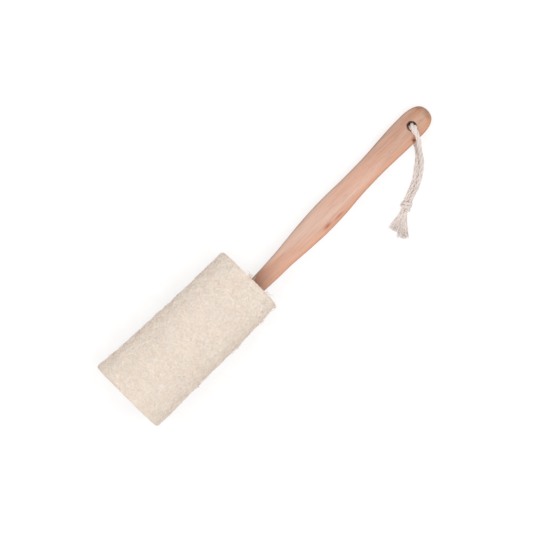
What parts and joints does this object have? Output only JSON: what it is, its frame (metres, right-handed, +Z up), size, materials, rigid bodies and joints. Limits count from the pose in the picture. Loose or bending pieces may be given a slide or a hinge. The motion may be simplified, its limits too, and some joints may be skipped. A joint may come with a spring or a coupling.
{
  "type": "loofah back scrubber",
  "caption": "Section of natural loofah gourd on a long shaped wooden handle, with a knotted cotton hanging cord through the handle's tip.",
  "frame": {"origin": "centre of the underside of the box round the loofah and the handle, on the surface that the loofah rests on", "axes": "+X along the handle, from the loofah's free end to the handle's tip; +Z up from the resting surface; the hanging cord lies on the -Y side"},
  "size_m": [0.4004, 0.1131, 0.0802],
  "materials": {
    "wood": "satin",
    "loofah_fibre": "matte",
    "loofah_core_fibre": "matte",
    "adhesive": "satin",
    "cotton": "matte",
    "cotton_yarn": "matte"
  },
  "bodies": {
    "scrubber": {"handle": "wood", "loofah_wall": "loofah_fibre", "loofah_core": "loofah_core_fibre", "tang_adhesive": "adhesive"},
    "hang_cord": {"cord_front_run": "cotton", "cord_back_run": "cotton", "cord_knot": "cotton", "frayed_ends": "cotton_yarn"}
  },
  "joints": [
    {"name": "loop_swing", "type": "hinge", "parent": "scrubber", "child": "hang_cord", "pos_m": [0.17847, 0.0009, 0.013], "axis": [0, 0, 1], "range_deg": [-20, 240]}
  ]
}
